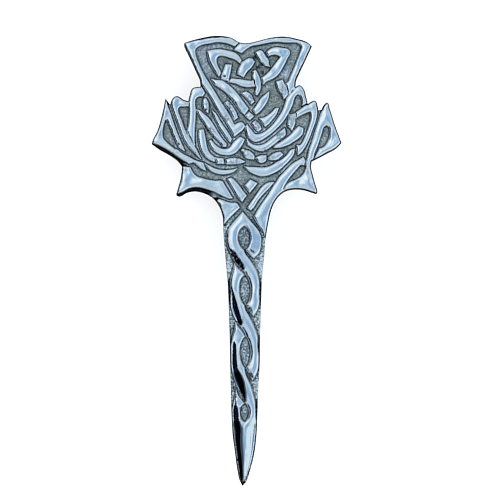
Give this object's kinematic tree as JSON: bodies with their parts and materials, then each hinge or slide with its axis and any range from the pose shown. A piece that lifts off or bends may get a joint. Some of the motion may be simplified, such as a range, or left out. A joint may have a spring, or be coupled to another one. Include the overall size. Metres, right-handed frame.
{
  "type": "kilt pin",
  "caption": "Long cast brooch with a thistle-shaped head of raised knotwork on a braided, pointed shaft, and a plain brooch pin on its flat back to fasten the apron of a kilt.",
  "frame": {"origin": "middle of the base of the part's box, on the surface that it lies on", "axes": "+Y along the shaft from its tip to the crest of the head, +Z out of the face, +X to the right of the face as it is read"},
  "size_m": [0.0424, 0.1004, 0.0089],
  "materials": {
    "casting": "polished high strands over darkened, stippled recesses",
    "pin_back": "plain drawn wire and plain posts"
  },
  "bodies": {
    "root": {"casting": "casting", "pin_back": "pin_back"}
  },
  "joints": []
}
